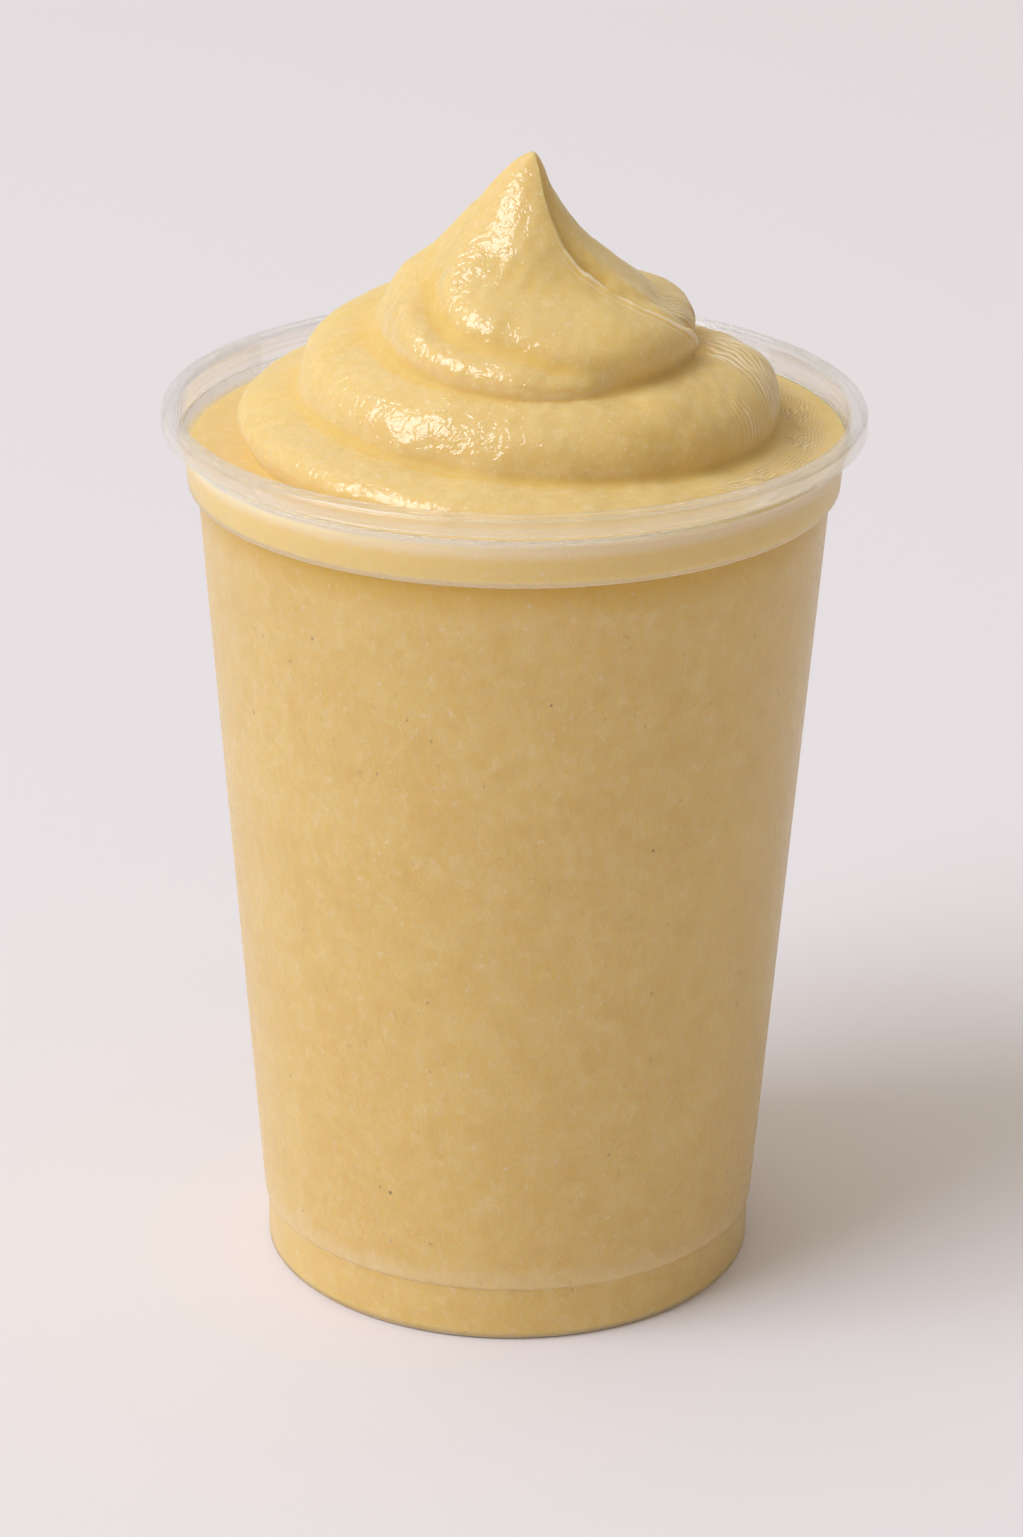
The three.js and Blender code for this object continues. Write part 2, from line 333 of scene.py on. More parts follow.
# The fine forms that lie over the swirl's main shape, in mm and degrees
drinkDetails = {
    "seed": 7,
    "lumps": ((0.16, 11.0), (0.05, 3.2)),        # height and size of the soft unevenness
    # A shallow valley sets the last roll off from the lobe above it: angle, radius, height
    "valley": [
        (142.5, 11.1, 152.9), (141.5, 15.3, 148.4), (131.5, 17.9, 145.8), (119.0, 20.3, 143.7),
        (108.0, 21.1, 143.4), (96.5, 21.9, 143.2), (86.0, 23.1, 142.3), (78.5, 24.3, 141.1),
        (67.5, 25.2, 140.1), (53.0, 25.2, 138.9),
    ],
    "valleyDepth": 0.75,
    "valleyWidth": 1.7,
    "swell": 0.5,                # the roll under the valley is this much fuller
    "swellPlace": 4.2,
    "swellWidth": 2.6,
    "lip": 0.35,                 # raised edge of the fold
    "lipWidth": 0.5,
    "lipAhead": 4.5,             # degrees in front of the middle of the fold
    "groove": 0.95,              # hollow right behind the edge
    "groovePlace": 1.9,
    "grooveWidth": 1.35,
    "backRoll": 0.45,            # the layer behind the hollow is this much fuller
    "backRollPlace": 5.2,
    "backRollWidth": 2.2,
    "lumpsFromWall": (0.5, 4.0),                 # mm inside this radius, where the unevenness fades in
    "wallRadius": 46.0,
    "valleyEnds": (0.0, 0.12, 0.78, 1.0),        # share of the line: fades in, fades out
    "lipEnds": (0.0, 0.15, 0.90, 0.96),
    "lipWobble": (0.25, 5.0),                    # height and size, as for the lumps
    "wetSide": 108.0,            # the wet film lies on this side, and fades between the two next values
    "wetReach": (34.0, 60.0),
    "wetLeast": 0.06,
    "dryDepth": (0.04, 0.30),    # mm of hollow in which the film ends, and in which painted shade deepens the colour
    "creaseShadeDepth": (0.07, 0.34),
    "creaseShadeRadii": (38.0, 41.0),
    "hollowRows": 4,
    "relief": (0.055, 0.09, 0.15),               # height of the wrinkles, the streaks and the ripples
    "shift": (0.85, 10.0),       # unevenness of their course: how far, and its size
    "uneven": (0.7, 3.5),
    "gaps": (-0.9, 0.6, 4.5),    # where they fade: range of the noise, and its size
    "wrinkleSpacing": (1.5, 0.8),                # of the wrinkles behind the fold: at the tip, at the pinch
    "wrinkleNear": (-2.6, -3.4),                 # mm behind the edge, where they fade in, then out
    "wrinkleFar": (-11.5, -9.0),
    "wrinkleAlong": (0.3, 0.5),
    "wrinkleAbove": (137, 138.5),
    "wrinkleWander": 0.3,
    "wrinkleWhole": (0.15, 0.9),                 # strength in the gaps and outside them
    "strands": 8.0,              # in the bundle of drag streaks that starts where the fold pinches the coil
    "bundleStart": 26.0,         # radius where they start
    "bundleTop": 135.0,          # height below which they run down the coil's side
    "bundleFront": (18.0, 11.0),                 # degrees: the front strand's end, and how far it swings
    "bundleWidth": 12.0,         # degrees between the first and the last strand, at their ends
    "bundleSpread": 2.2,
    "bundleLength": 4.6,         # mm in which the swing fades
    "bundleSearch": (-2.0, 3.0),
    "bundleHalvings": 22,
    "bundleStrands": (-0.02, 0.05, 1.25, 1.85),  # 0 is the front strand, 1 the last: fades in, fades out
    "bundleRun": (-0.4, 1.5, 15.5, 18),          # mm along the strands
    "bundleAbove": (125.2, 126.4),
    "bundleBelow": 139,
    "bundleBack": (-75, -55),    # degrees
    "bundleWander": (0.4, 0.15),
    "bundleWhole": (0.6, 1.0),
    "bundleFlatter": 0.45,       # the strands behind the last one are this much flatter
    "bundleFlatFrom": (1.0, 1.4),
    "faceStrands": (-1.3, -0.6, -0.12, 0.05),    # fainter strokes on the coil's face, in front of the bundle
    "faceShare": 0.5,
    "faceRun": (7, 9),
    "rippleSpacing": 1.7,        # feathered ripples on the flat surface beside the coil
    "rippleSlant": 2.6,
    "rippleCentre": 38,
    "rippleRadii": (37.2, 38.4, 41.0, 44.5),
    "rippleBelow": (125.6, 126.6),
    "rippleSide": (-50, -30, 35, 62),
    "rippleWhole": (0.35, 0.9),
}


def keyed(rows, t):
    # A smooth curve through rows that stand one unit apart
    last = len(rows) - 1
    i = np.clip(np.floor(t).astype(int), 0, last - 1)
    f = np.clip(t - i, 0, 1)[:, None]
    a, b, c, d = (rows[np.clip(i + k, 0, last)] for k in (-1, 0, 1, 2))
    return b + 0.5 * f * (c - a + f * (2 * a - 5 * b + 4 * c - d + f * (3 * (b - c) + d - a)))


def smoothMin(a, b, fillet):
    h = np.clip(0.5 + 0.5 * (b - a) / fillet, 0, 1)
    return b * (1 - h) + a * h - fillet * h * (1 - h)


def ovalDistance(r, z, section):
    crest, height, halfWidth, halfHeight = (section[:, k:k + 1] for k in range(4))
    across, up = (r - (crest - halfWidth)) / halfWidth, (z - height) / halfHeight
    near = np.hypot(across, up)
    return near * (near - 1) / np.maximum(np.hypot(across / halfWidth, up / halfHeight), tiny)


class Swirl:
    # Distances to the swirl for one row of angles, in degrees clockwise from the viewer's right
    def __init__(self, sizes, angles):
        self.s = sizes
        self.angles = angles[:, None]
        quarter = angles / 90
        coil = np.array(sizes["coil"])
        lobe = np.array(sizes["lobe"])
        self.turns = []
        first, last = sizes["shoulderSpan"]
        for turn in range(-1, 3):
            t = quarter + 4 * turn - sizes["firstQuarter"]
            there = (t >= 0) & (t <= len(coil) - 1)
            shoulder = (t > first) & (t < last)
            self.turns.append((there[:, None], shoulder[:, None], keyed(coil, t)))
        lobeQuarter = np.where(quarter > 4 - sizes["lobeOverrun"], quarter - 4, quarter)
        self.lobeAngle = 90 * lobeQuarter[:, None]
        self.lobeThere = (2 * lobeQuarter <= len(lobe) - 1)[:, None]
        self.lobe = keyed(lobe, np.maximum(2 * lobeQuarter, 0))

    def foldAngle(self, z):
        s = self.s
        return between((s["foldLowAngle"], s["foldHighAngle"]), smoothStep(s["foldLow"], s["foldHigh"], z))

    def peak(self, r, z):
        s = self.s
        below = np.maximum(s["tipHeight"] - z, 0)
        cone = np.sqrt((s["peakSlope"] * below) ** 2 + 2 * s["peakTipRadius"] * below)
        waist = smoothMin(cone, s["peakWaist"], s["waistFillet"])
        radius = np.where(z > s["tipHeight"], s["aboveTip"] * (s["tipHeight"] - z), waist)
        depth = s["foldDepth"] * (1 - smoothStep(s["foldShallowFrom"], s["foldShallowTo"], below))
        behind = (self.foldAngle(z) - self.angles + s["foldWidth"] / 2) % 360
        missing = fadeInOut(behind, 0, s["foldWidth"], s["foldHold"], s["foldEnd"])
        return (r - radius * (1 - depth * missing)) * s["peakEvenness"]

    def surfaceHeight(self):
        return self.s["fillLevel"] + self.s["fillTilt"] * np.cos(np.radians(self.angles))

    def distance(self, r, z):
        s = self.s
        drop = s["lobeDrop"] * smoothStep(0, s["foldWidth"], self.foldAngle(z) - self.lobeAngle)
        lobe = np.where(self.lobeThere, ovalDistance(r + drop, z, self.lobe), s["farAway"])
        found = smoothMin(self.peak(r, z), lobe, s["lobeFillet"])
        behind = aroundZero(self.foldAngle(z) - self.angles)
        dive = s["shoulderDive"] * (1 - smoothStep(0, s["shoulderRise"], behind))
        dive = dive * (1 - smoothStep(*s["shoulderFront"], -behind))
        for there, shoulder, section in self.turns:
            sunk = r + np.where(shoulder, dive, 0)
            away = np.where(there, ovalDistance(sunk, z, section), s["farAway"])
            found = smoothMin(found, away, s["creaseFillet"])
        return smoothMin(found, z - self.surfaceHeight(), s["surfaceFillet"])

    def march(self, tracing, across, up, reach, steps):
        for _ in range(steps):
            gap = self.distance(reach * across, tracing["centreHeight"] + reach * up)
            reach = reach - np.clip(gap, *tracing["stepLimits"]) * tracing["stepShare"]
        return reach


def rayFan(sizes, tracing, edgeRadius, count):
    r = edgeRadius * (1 - np.arange(count) / count)
    rise = sizes["tipHeight"] - sizes["fillLevel"]
    up = sizes["fillLevel"] + rise * (1 - r / edgeRadius) ** tracing["bunching"] - tracing["centreHeight"]
    length = np.hypot(r, up)
    return (r / length)[None], (up / length)[None]


def columnAngles(tracing):
    degree = np.arange(0, 360, tracing["degreeStep"])
    low, high = tracing["fineSide"]
    fadeIn, fadeOut = tracing["fineSideFade"]
    offMiddle = np.abs(aroundZero(degree - (low + high) / 2))
    inside = 1 - smoothStep((high - low) / 2 - fadeIn, (high - low) / 2 + fadeOut, offMiddle)
    density = 1 + (tracing["fineness"] - 1) * inside
    share = np.concatenate([[0], np.cumsum(density)]) / density.sum()
    return np.interp(np.arange(tracing["columns"]) / tracing["columns"], share, np.append(degree, 360))


def evenRows(tracing, r, z):
    # New points along each column's line, evenly spaced but closer on the coil that has the drag streaks
    columns, rows, fade = len(r), tracing["rows"], tracing["fineCoilFade"]
    inner, outer, top = tracing["fineCoil"]
    nearCoil = fadeInOut(r, inner - fade, inner, outer, outer + fade) * (1 - smoothStep(top, top + fade, z))
    weight = 1 + (tracing["rowFineness"] - 1) * nearCoil[:, 1:]
    step = np.hypot(np.diff(r), np.diff(z)) * weight
    along = np.concatenate([np.zeros((columns, 1)), np.cumsum(step, 1)], 1)
    evenRadius, evenHeight = np.empty((columns, rows)), np.empty((columns, rows))
    for c in range(columns):
        wanted = along[c, -1] * np.arange(rows) / rows
        evenRadius[c] = np.interp(wanted, along[c], r[c])
        evenHeight[c] = np.interp(wanted, along[c], z[c])
    return evenRadius, evenHeight


def swirlSurface(sizes, tracing, edgeAt):
    # Outlines from the wall to the tip: radius and height of every column and row.
    # edgeAt gives the drink's outer radius for a height.
    roughRays, fineRays = tracing["rays"]
    roughSteps, fineSteps = tracing["steps"]
    farStart, nearStart = tracing["start"]
    angles = columnAngles(tracing)
    few = angles[::tracing["roughColumns"]]
    swirl = Swirl(sizes, angles)
    edge = edgeAt(swirl.surfaceHeight())
    across, up = rayFan(sizes, tracing, edge.max(), roughRays)
    first = np.full((len(few), roughRays), farStart)
    rough = Swirl(sizes, few).march(tracing, across, up, first, roughSteps)
    rough = np.concatenate([rough, rough[:1]])
    roughShare, fineShare = np.arange(roughRays) / roughRays, np.arange(fineRays) / fineRays
    wide = np.array([np.interp(fineShare, roughShare, line) for line in rough])
    known = np.append(few, 360)
    start = np.array([np.interp(angles, known, wide[:, k]) for k in range(fineRays)]).T
    across, up = rayFan(sizes, tracing, edge.max(), fineRays)
    reach = swirl.march(tracing, across, up, start + nearStart, fineSteps)
    r, z = np.minimum(reach * across, edge), tracing["centreHeight"] + reach * up
    r = np.concatenate([r, np.zeros((len(angles), 1))], 1)
    z = np.concatenate([z, np.full((len(angles), 1), sizes["tipHeight"])], 1)
    return swirl, angles, *evenRows(tracing, r, z)


def gridNormals(points):
    # points: columns x rows x 3, clockwise round the axis and upwards. The normals look outwards.
    beside = np.roll(points, -1, 0) - np.roll(points, 1, 0)
    above = np.gradient(points, axis=1)
    normal = np.cross(above, beside)
    return normal / np.maximum(np.linalg.norm(normal, axis=-1, keepdims=True), tiny)


def softLumps(points, size, random):
    # Smooth seeded noise, from -1 to 1 for the most part
    total = np.zeros(points.shape[:-1])
    waves, narrowest, widest = 26, 0.6, 1.5
    for _ in range(waves):
        direction = random.normal(size=3)
        direction *= 2 * math.pi / size * random.uniform(narrowest, widest) / np.linalg.norm(direction)
        total += np.cos(points @ direction + random.uniform(0, 2 * math.pi))
    return total / math.sqrt(waves)


def lineDistance(points, normals, line):
    # Signed distance to a line that lies on the surface, and the share of the line where it is nearest
    nearest = np.full(points.shape[:-1], np.inf)
    signed, along = np.zeros_like(nearest), np.zeros_like(nearest)
    for i in range(len(line) - 1):
        start, step = line[i], line[i + 1] - line[i]
        offset = points - start
        part = np.clip(offset @ step / (step @ step), 0, 1)
        away = offset - part[..., None] * step
        gap = np.linalg.norm(away, axis=-1)
        side = np.sign(np.sum(away * np.cross(step, normals), axis=-1))
        closer = gap < nearest
        nearest = np.where(closer, gap, nearest)
        signed = np.where(closer, gap * side, signed)
        along = np.where(closer, (i + part) / (len(line) - 1), along)
    return signed, along


def onSwirl(s, angle, r, z):
    angle = np.radians(angle)
    rise = np.maximum((z - s["leanStart"]) / (s["tipHeight"] - s["leanStart"]), 0)
    return np.stack([r * np.cos(angle) + s["tipShift"] * rise ** s["leanPower"], -r * np.sin(angle), z], -1)


def foldEdge(s, d, angles, r, z, swirl):
    # The line of the fold's edge on the surface, from the tip down to the right side
    edge = []
    past = swirl.foldAngle(z) + d["lipAhead"] - angles[:, None]
    onPeak = z > s["foldLow"]
    for c in range(len(angles)):
        crossing = np.nonzero((past[c, :-1] < 0) & (past[c, 1:] >= 0) & onPeak[c, :-1])[0]
        if len(crossing):
            edge.append((angles[c], r[c, crossing[-1]], z[c, crossing[-1]]))
    edge = np.array(edge)[::-1]
    return onSwirl(s, edge[:, 0], edge[:, 1], edge[:, 2])


def strandAt(d, angle, run):
    # Which strand of the bundle of drag streaks runs through a point: 0 at its front, 1 at its back
    end, swing = d["bundleFront"]
    lowest, highest = d["bundleSearch"]
    low, high = np.full_like(run, lowest), np.full_like(run, highest)
    for _ in range(d["bundleHalvings"]):
        middle = (low + high) / 2
        swung = swing * np.exp(d["bundleSpread"] * middle - run / d["bundleLength"])
        ahead = end - d["bundleWidth"] * middle - swung > angle
        low, high = np.where(ahead, middle, low), np.where(ahead, high, middle)
    return middle


def fineStreaks(d, points, angles, r, z, signed, along, random):
    # Phase, strength and height of the wrinkles, the drag streaks and the ripples
    tall, size = d["shift"]
    shift = tall * softLumps(points, size, random)
    fromRight = aroundZero(angles[:, None]) + 0 * r
    # Wrinkles behind the fold run beside its edge and draw together at the pinch
    atTip, atPinch = d["wrinkleSpacing"]
    wrinkles = signed / (atPinch + (atTip - atPinch) * (1 - along))
    onBack = smoothStep(*d["wrinkleNear"], signed) * smoothStep(*d["wrinkleFar"], signed)
    onBack *= smoothStep(*d["wrinkleAlong"], along) * smoothStep(*d["wrinkleAbove"], z) * (along < 1)
    # Drag streaks run over the coil below the pinch and down its side
    run = r - d["bundleStart"] + np.maximum(d["bundleTop"] - z, 0)
    strand = strandAt(d, fromRight, run)
    inBundle = fadeInOut(strand, *d["bundleStrands"])
    onFace = d["faceShare"] * fadeInOut(strand, *d["faceStrands"]) * smoothStep(*d["faceRun"], run)
    onTurn = (inBundle + onFace) * fadeInOut(run, *d["bundleRun"])
    onSide = smoothStep(*d["bundleAbove"], z) * smoothStep(*d["bundleBack"], fromRight)
    onTurn *= onSide * (z < d["bundleBelow"])
    # Ripples on the flat surface beside the coil
    onFlat = fadeInOut(r, *d["rippleRadii"]) * (1 - smoothStep(*d["rippleBelow"], z))
    onFlat *= fadeInOut(fromRight, *d["rippleSide"])
    tall, size = d["uneven"]
    uneven = tall * softLumps(points, size, random)
    ripples = (fromRight + d["rippleSlant"] * (r - d["rippleCentre"])) / d["rippleSpacing"]
    slow, quick = d["bundleWander"]
    streaks = strand * d["strands"] + slow * shift + quick * uneven
    phase = np.where(onTurn > 0, streaks, ripples + shift + uneven)
    phase = np.where(onBack > onTurn, wrinkles + d["wrinkleWander"] * (shift + uneven), phase)
    low, high, size = d["gaps"]
    whole = smoothStep(low, high, softLumps(points, size, random))
    onTurn *= np.where(strand < 0, whole, between(d["bundleWhole"], whole))
    onBack *= between(d["wrinkleWhole"], whole)
    onFlat *= between(d["rippleWhole"], whole)
    strength = np.maximum(np.maximum(onBack, onTurn), onFlat)
    wrinkle, streak, ripple = d["relief"]
    relief = np.where(onBack > onTurn, wrinkle, np.where(onTurn > 0, streak, ripple))
    relief *= 1 - d["bundleFlatter"] * smoothStep(*d["bundleFlatFrom"], strand) * (onTurn > 0)
    return phase, strength, relief


def addDetails(s, d, points, angles, r, z, swirl):
    # Returns the points with the fine forms, and what the material needs at each point: phase and strength
    # of the streaks, distance from the fold's edge and the edge's strength, how wet it is, and the painted
    # shade of its hollows
    random = np.random.default_rng(d["seed"])
    normals = gridNormals(points)
    height = np.zeros_like(r)
    for tall, size in d["lumps"]:
        height += tall * softLumps(points, size, random)
    height *= smoothStep(*d["lumpsFromWall"], d["wallRadius"] - r)

    valley = np.array(d["valley"])
    signed, along = lineDistance(points, normals, onSwirl(s, valley[:, 0], valley[:, 1], valley[:, 2]))
    ends = fadeInOut(along, *d["valleyEnds"])
    height -= d["valleyDepth"] * ends * bell(signed, 0, d["valleyWidth"])
    height += d["swell"] * ends * bell(signed, d["swellPlace"], d["swellWidth"])

    signed, along = lineDistance(points, normals, foldEdge(s, d, angles, r, z, swirl))
    ends = fadeInOut(along, *d["lipEnds"])
    tall, size = d["lipWobble"]
    wobble = tall * softLumps(points, size, random)
    height += d["lip"] * ends * bell(signed + wobble, 0, d["lipWidth"])
    height -= d["groove"] * ends * bell(signed + wobble, -d["groovePlace"], d["grooveWidth"])
    height += d["backRoll"] * ends * bell(signed, -d["backRollPlace"], d["backRollWidth"])

    phase, strength, relief = fineStreaks(d, points, angles, r, z, signed, along, random)
    height += relief * strength * np.sin(2 * math.pi * phase)
    points = points + normals * height[..., None]

    # Hollows are less wet than crowns, and get painted shade: a deeper colour
    rows = d["hollowRows"]
    above, below = np.roll(points, -rows, 1), np.roll(points, rows, 1)
    depth = np.sum(((above + below) / 2 - points) * normals, axis=-1)
    depth[:, :rows] = depth[:, -rows:] = 0
    fromWet = np.abs(aroundZero(angles[:, None] - d["wetSide"]))
    wet = 1 - smoothStep(*d["dryDepth"], depth)
    wet = wet * np.maximum(1 - smoothStep(*d["wetReach"], fromWet), d["wetLeast"])
    creaseShade = smoothStep(*d["creaseShadeDepth"], depth) * (1 - smoothStep(*d["creaseShadeRadii"], r))
    return points, {"streakPhase": phase, "streakStrength": strength, "ridge": signed, "ridgeStrength": ends,
                    "wet": wet, "creaseShade": creaseShade}


def makeDrink(s, details, tracing, cup, materials):
    into = cup["wallThickness"] - s["wallOverlap"]
    floor = cup["baseThickness"] - s["wallOverlap"]
    # Up the inside of the cup: radius, height and roundness of each corner, offset a little to fit the bends
    filled = roundCorners([
        (0.0, cup["baseRecessHeight"] + floor, 0),
        (cup["baseRecessRadius"] - 1.75, cup["baseRecessHeight"] + floor, 0.3),
        (cup["baseRecessRadius"] - 0.65, floor, 0.3),
        (cup["baseContactRadius"] - 0.5, floor, 0.4),
        (cup["footRadius"] - into, floor + 0.75, 0.4),
        (cup["footRadius"] - into, cup["ringHeight"] - 0.1, 0.2),
        (cup["ringRadius"] - into, cup["ringHeight"] + 0.3, 0.2),
        (cup["wallTopRadius"] - into, cup["bandBottom"] + 0.55, 0.2),
        (cup["bandBottomRadius"] - into, cup["bandBottom"] + 0.95, 0.2),
        (cup["bandTopRadius"] - into, cup["bandTop"] - 0.8, 0),
        (cup["bandTopRadius"] - into, s["fillLevel"], 0),
    ], 2, 0)
    neckStart, neckEnd = cup["bandTop"] + cup["neckStart"], cup["bandTop"] + cup["neckEnd"]
    mouth = cup["lipRadius"] - cup["lipWidth"]
    widening = (mouth - cup["bandTopRadius"] + cup["wallThickness"]) / (neckEnd - neckStart)

    def edgeAt(height):
        return filled[-1, 0] + widening * np.maximum(height - neckStart, 0)

    swirl, angles, r, z = swirlSurface(s, tracing, edgeAt)
    points = onSwirl(s, angles[:, None], r, z)
    points, forMaterial = addDetails(s, details, points, angles, r, z, swirl)
    columns = len(angles)
    radians = np.radians(angles)[:, None]
    sideHeight = filled[:, 1] + 0 * radians
    sideHeight[:, -1:] = np.minimum(swirl.surfaceHeight(), neckStart) - s["edgeDrop"]
    sides = np.stack([filled[:, 0] * np.cos(radians), -filled[:, 0] * np.sin(radians), sideHeight], -1)
    grid = np.concatenate([sides[:, 1:], points], 1)
    rings = grid.shape[1]
    # Angles run clockwise, so the columns are turned round to make the faces look outwards
    flat = grid[::-1].transpose(1, 0, 2).reshape(-1, 3)
    flat = np.concatenate([flat, [[0, 0, filled[0, 1]]], [[s["tipShift"], 0, s["tipHeight"]]]])
    faces = ringFaces(rings, columns)
    slots = np.repeat(np.arange(rings - 1) >= len(filled) - 2, columns).tolist()
    closeEnds(faces, slots, rings, columns, 1)
    piece = addPiece("smoothie_body", flat * mm, faces, materials, slots)
    for name, values in forMaterial.items():
        onWall = s["onWall"].get(name, 0)
        besideWall = np.full((columns, len(filled) - 1), onWall)
        perPoint = np.concatenate([besideWall, values], 1)[::-1].T.ravel()
        perPoint = np.append(perPoint, [onWall, onWall])
        attribute = piece.data.attributes.new(name, "FLOAT", "POINT")
        attribute.data.foreach_set("value", perPoint.astype(np.float32))
    return piece


# Colours and finishes of the drink. A noise is given as scale, detail, roughness and distortion, and the
# four numbers after it turn a range of the noise into a range of what it steers. Lengths are in metres.
drinkLooks = {
    "colour": (0.79, 0.545, 0.158),
    "paleColour": (0.86, 0.67, 0.36),
    "deepColour": (0.71, 0.45, 0.105),
    "cloud": (55, 3.0, 0.55),
    "cloudDeep": (0.35, 0.68, 0, 0.35),
    "grain": (620, 2.0, 0.6),
    "grainPale": (0.45, 0.8, 0, 0.40),
    "fleck": (1500, 1.0, 0.5),
    "fleckPale": (0.64, 0.74, 0, 0.50),
    "glowShare": 0.58,
    "glowDepth": 0.0028,         # how deep light goes into the drink
    "glowRadius": (1.0, 0.62, 0.25),
    "sheen": 0.28,
    "sheenRoughness": 0.6,
    # Where the drink lies against the wall
    "mottle": (260, 4.0, 0.72),
    "mottleDeep": (0.47, 0.68, 0, 0.55),
    "mottlePale": (0.45, 0.30, 0, 0.28),
    "speck": (1250, 0.0, 0.5),
    "speckShare": (0.845, 0.88, 0, 0.9),
    "speckColour": (0.16, 0.09, 0.03),
    "shadeHeights": (0.1120, 0.1174, 0.1174, 0.1177),     # painted shade, deeper where the wall steps in under the band
    "shadeColour": (0.69, 0.41, 0.03),
    "bandShare": (0.1174, 0.1178, 0, 0.75),
    "bandColour": (0.86, 0.62, 0.175),
    "wallRoughness": (0.3, 0.75, 0.75, 0.95),
    "wallSpecular": 0.05,
    # Where it stands open, as the swirl
    "roughness": (0.3, 0.75, 0.54, 0.68),
    "specular": 0.42,
    # painted shade: a deeper, more saturated colour in the creases between coils
    "creaseShadeColour": (0.79, 0.49, 0.07),
    "creaseShadeShare": 0.35,
    "bend": (110, 1.0, 0.5),     # waves the streaks
    "bendShare": 0.4,
    # painted shade in the gaps between the streaks' ribs
    "gap": (0.2, -0.9, 0.0, 1.0),
    "gapShadeColour": (0.44, 0.265, 0.125),
    "gapShadeShare": 0.50,
    "rib": (0.25, 1.0, 0.0, 1.0),
    "ribBreaks": (130, 2.0, 0.5),
    "ribWhole": (0.35, 0.58, 0.25, 1.0),
    "streakHeight": 0.00008,
    # pale colour of the ribs, painted light on the streaks' crests, and of the fold's threads
    "streakColour": (0.99, 0.82, 0.67),
    "streakPale": 0.75,
    "threadWave": (260, 2.0, 0.5),
    "threadWaveShare": 0.9,
    "threads": ((0.45, (0.12, 0.34, 1, 0)), (1.5, (0.08, 0.25, 0.45, 0))),    # mm before the fold's edge
    "threadShare": 0.75,
    "crinkle": (680, 1.0, 0.5, 1.0),
    "crinkleHeight": 0.00030,    # of the wet film
    "crinkleUnder": 0.000036,    # of the drink under it
    "filmRoughness": 0.07,
    "filmIor": 1.62,
}


def drinkTone(nodes, place, looks):
    grain = nodes.noise(place, *looks["grain"])
    cloud = nodes.noise(place, *looks["cloud"])
    fleck = nodes.noise(place, *looks["fleck"])
    tone = nodes.tint(looks["colour"], cloud, looks["cloudDeep"], looks["deepColour"])
    tone = nodes.tint(tone, grain, looks["grainPale"], looks["paleColour"])
    tone = nodes.tint(tone, fleck, looks["fleckPale"], looks["paleColour"])
    return tone, grain


def drinkShader(nodes, tone, roughness, specular, looks):
    shader = nodes.add("ShaderNodeBsdfPrincipled")
    nodes.feed(shader, {"Base Color": tone, "Roughness": roughness, "Specular IOR Level": specular,
                        "Subsurface Weight": looks["glowShare"], "Subsurface Radius": looks["glowRadius"],
                        "Subsurface Scale": looks["glowDepth"], "Sheen Weight": looks["sheen"],
                        "Sheen Roughness": looks["sheenRoughness"]})
    nodes.toSurface(shader.outputs["BSDF"])
    return shader


def drinkAtWall(looks):
    material, nodes = newMaterial("smoothieAtWall")
    place = nodes.place()
    tone, grain = drinkTone(nodes, place, looks)
    mottle = nodes.noise(place, *looks["mottle"])
    speck = nodes.noise(place, *looks["speck"])
    height = nodes.height(place)
    tone = nodes.tint(tone, mottle, looks["mottleDeep"], looks["deepColour"])
    tone = nodes.tint(tone, mottle, looks["mottlePale"], looks["paleColour"])
    tone = nodes.tint(tone, speck, looks["speckShare"], looks["speckColour"])
    # Painted shade where the wall steps in under the band
    shade = nodes.inRange(height, *looks["shadeHeights"])
    tone = nodes.mix(shade, tone, looks["shadeColour"])
    tone = nodes.tint(tone, height, looks["bandShare"], looks["bandColour"])
    roughness = nodes.remap(grain, *looks["wallRoughness"])
    drinkShader(nodes, tone, roughness, looks["wallSpecular"], looks)
    return material


